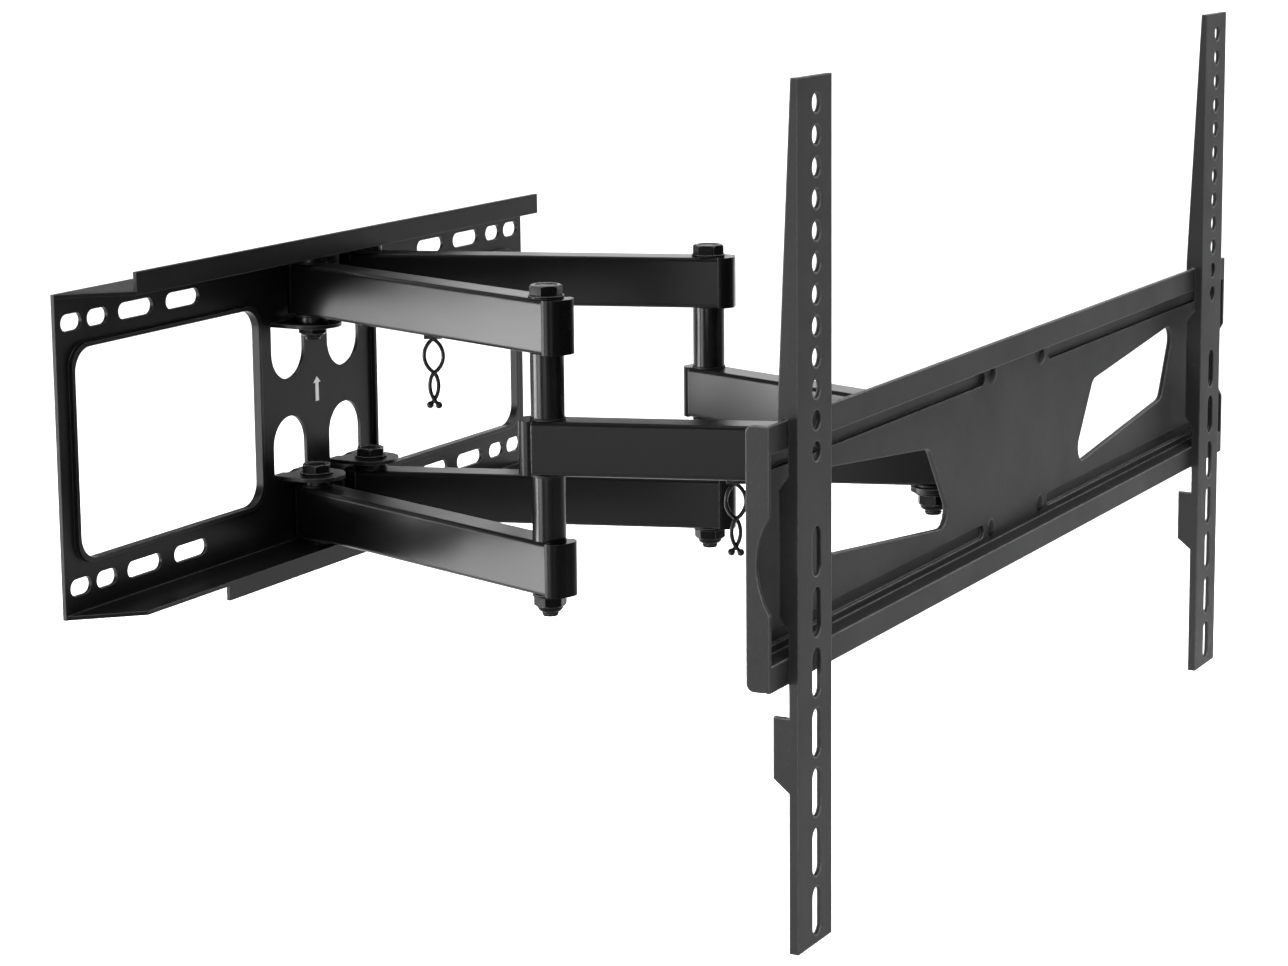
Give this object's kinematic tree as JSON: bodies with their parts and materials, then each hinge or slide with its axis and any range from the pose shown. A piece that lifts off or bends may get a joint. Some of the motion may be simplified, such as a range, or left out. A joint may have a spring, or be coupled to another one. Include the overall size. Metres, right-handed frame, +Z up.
{
  "type": "full motion television wall mount",
  "caption": "Articulated television wall bracket: a slotted wall plate, paired folding arms, and a tilting and swivelling plate with sliding hook rails.",
  "frame": {"origin": "middle of the wall plate's rear face, where it lies on the wall", "axes": "+X right as seen by a viewer of the television, +Y into the wall, +Z up"},
  "size_m": [0.682, 0.5001, 0.429],
  "materials": {
    "plate_paint": "satin",
    "arm_paint": "satin",
    "sleeve_paint": "gloss",
    "cap_plastic": "satin",
    "bush_nylon": "matte",
    "fastener_black": "satin",
    "clip_wire": "satin"
  },
  "bodies": {
    "wall": {"wall_plate": "plate_paint", "upper_pivot_bolts": "fastener_black", "lower_pivot_bolts": "fastener_black", "wall_pivot_nuts": "fastener_black", "wall_pivot_washers": "fastener_black", "wall_pivot_spacers": "bush_nylon"},
    "inner_left": {"inner_left_upper_arm": "arm_paint", "inner_left_lower_arm": "arm_paint", "inner_left_caps": "cap_plastic", "inner_left_bushes": "bush_nylon", "inner_cable_clip": "clip_wire", "left_elbow_bolt": "fastener_black", "left_elbow_nut": "fastener_black", "left_elbow_washers": "fastener_black", "left_elbow_sleeves": "sleeve_paint"},
    "inner_right": {"inner_right_upper_arm": "arm_paint", "inner_right_lower_arm": "arm_paint", "inner_right_caps": "cap_plastic", "inner_right_bushes": "bush_nylon", "right_elbow_bolt": "fastener_black", "right_elbow_nut": "fastener_black", "right_elbow_washers": "fastener_black", "right_elbow_sleeves": "sleeve_paint"},
    "outer_left": {"outer_left_arm": "arm_paint", "outer_left_caps": "cap_plastic", "outer_left_bushes": "bush_nylon", "outer_cable_clip": "clip_wire"},
    "outer_right": {"outer_right_arm": "arm_paint", "outer_right_caps": "cap_plastic", "outer_right_bushes": "bush_nylon"},
    "yoke": {"arm_yoke": "plate_paint", "head_pivot_bolts": "fastener_black", "head_pivot_nuts": "fastener_black", "head_pivot_washers": "fastener_black", "swivel_pin": "fastener_black"},
    "swivel": {"swivel_post": "plate_paint", "tilt_bolt": "fastener_black"},
    "television_plate": {"tilt_cheeks": "plate_paint", "tv_plate": "plate_paint", "tv_plate_rivets": "plate_paint"},
    "left_rail": {"left_rail": "plate_paint"},
    "right_rail": {"right_rail": "plate_paint"}
  },
  "joints": [
    {"name": "fold", "type": "hinge", "parent": "wall", "child": "inner_left", "pos_m": [-0.031, -0.022, 0], "axis": [0, 0, -1], "range_deg": [-14.5, 49.5]},
    {"name": "fold_right", "type": "hinge", "parent": "wall", "child": "inner_right", "pos_m": [0.031, -0.022, 0], "axis": [0, 0, -1], "range_deg": [-49.5, 14.5]},
    {"name": "elbow_left", "type": "hinge", "parent": "inner_left", "child": "outer_left", "pos_m": [-0.10195, -0.23405, 0], "axis": [0, 0, -1], "range_deg": [-99, 29]},
    {"name": "elbow_right", "type": "hinge", "parent": "inner_right", "child": "outer_right", "pos_m": [0.10195, -0.23405, 0], "axis": [0, 0, -1], "range_deg": [-29, 99]},
    {"name": "head_pivot", "type": "hinge", "parent": "outer_left", "child": "yoke", "pos_m": [-0.031, -0.44609, 0], "axis": [0, 0, -1], "range_deg": [-14.5, 49.5]},
    {"name": "pan", "type": "hinge", "parent": "yoke", "child": "swivel", "pos_m": [0, -0.45709, 0], "axis": [0, 0, 1], "range_deg": [-16, 16]},
    {"name": "tilt", "type": "hinge", "parent": "swivel", "child": "television_plate", "pos_m": [0, -0.46809, 0], "axis": [1, 0, 0], "range_deg": [-5, 12]},
    {"name": "left_rail_slide", "type": "slide", "parent": "television_plate", "child": "left_rail", "axis": [1, 0, 0], "range_m": [0, 0.2]},
    {"name": "right_rail_slide", "type": "slide", "parent": "television_plate", "child": "right_rail", "axis": [-1, 0, 0], "range_m": [0, 0.2]}
  ],
  "couplings": [
    {"joint": "fold_right", "follows": "fold", "ratio": -1},
    {"joint": "elbow_left", "follows": "fold", "ratio": -2},
    {"joint": "elbow_right", "follows": "fold", "ratio": 2},
    {"joint": "head_pivot", "follows": "fold", "ratio": 1}
  ]
}
